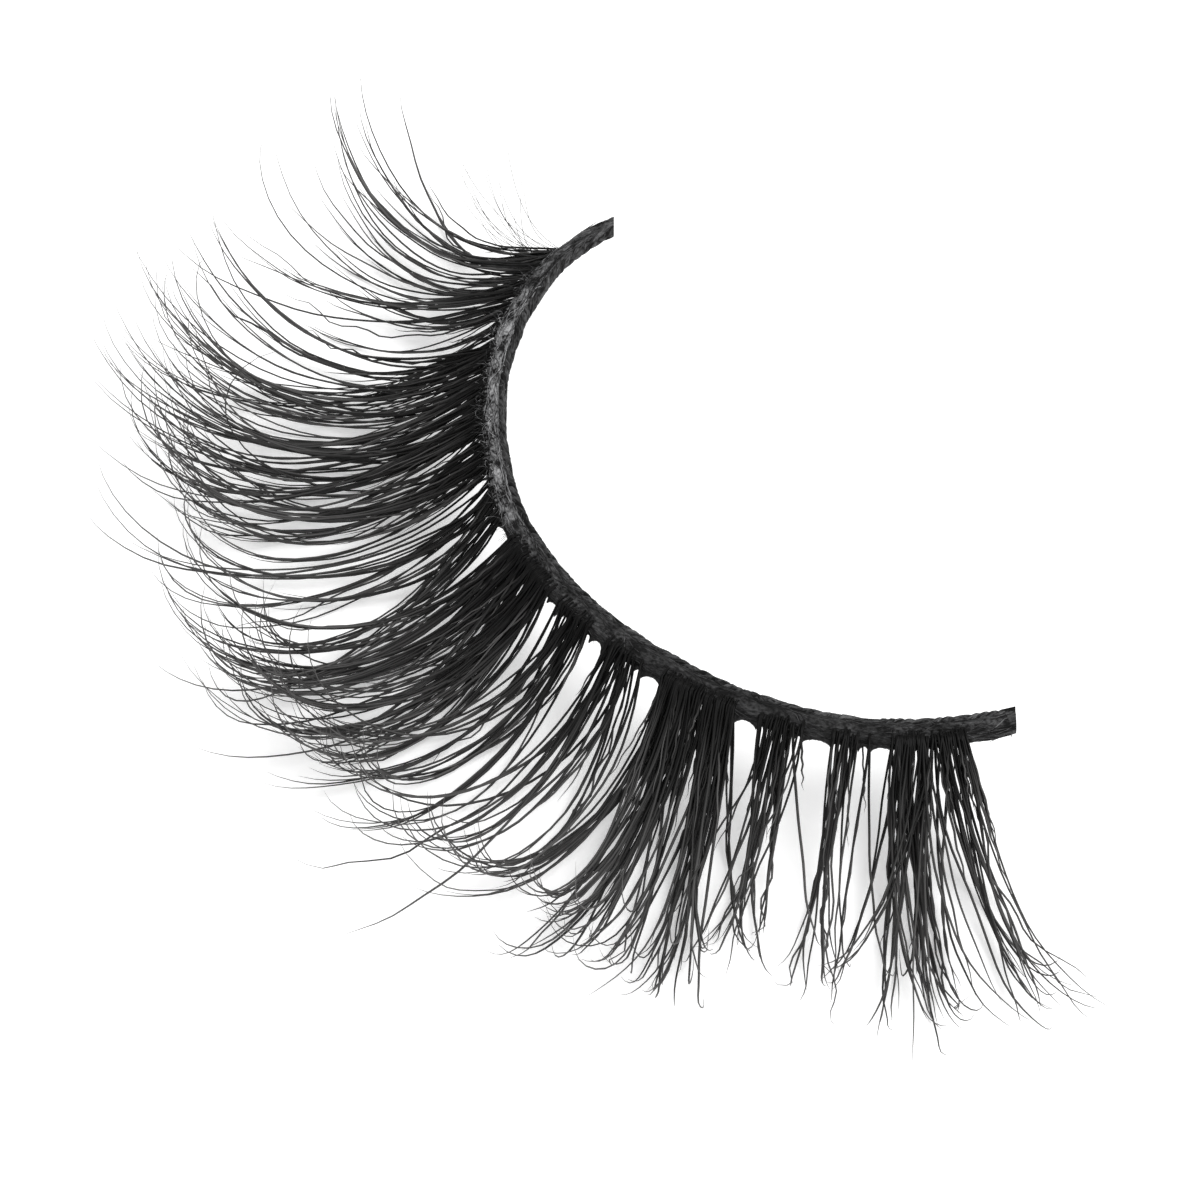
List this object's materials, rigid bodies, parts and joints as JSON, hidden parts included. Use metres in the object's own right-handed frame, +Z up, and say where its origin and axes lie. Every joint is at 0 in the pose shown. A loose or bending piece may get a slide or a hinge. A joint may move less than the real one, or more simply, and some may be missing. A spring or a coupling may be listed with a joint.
{
  "type": "false eyelash strip",
  "caption": "Curved black false eyelash strip: a flat cotton band with separate tufts of long curled hair along its outer side, lying on its hairs.",
  "frame": {"origin": "middle of the bottom of the part's box, on the surface it lies on", "axes": "+X along the band's chord towards the end with the shorter, straighter hair, -Y the way the middle hairs point, +Z up from the surface"},
  "size_m": [0.046, 0.0224, 0.007],
  "materials": {
    "cotton_band": "matte black cotton thread, a little fuzzy, with thin dried glue",
    "lash_hair": "fine black hair with a soft sheen, thinner and greyer at the tips"
  },
  "bodies": {
    "root": {"band": "cotton_band", "tuft_01": "lash_hair", "tuft_02": "lash_hair", "tuft_03": "lash_hair", "tuft_04": "lash_hair", "tuft_05": "lash_hair", "tuft_06": "lash_hair", "tuft_07": "lash_hair", "tuft_08": "lash_hair", "tuft_09": "lash_hair", "tuft_10": "lash_hair", "tuft_11": "lash_hair", "tuft_12": "lash_hair", "tuft_13": "lash_hair", "tuft_14": "lash_hair", "tuft_15": "lash_hair", "tuft_16": "lash_hair", "tuft_17": "lash_hair", "tuft_18": "lash_hair"}
  },
  "joints": []
}
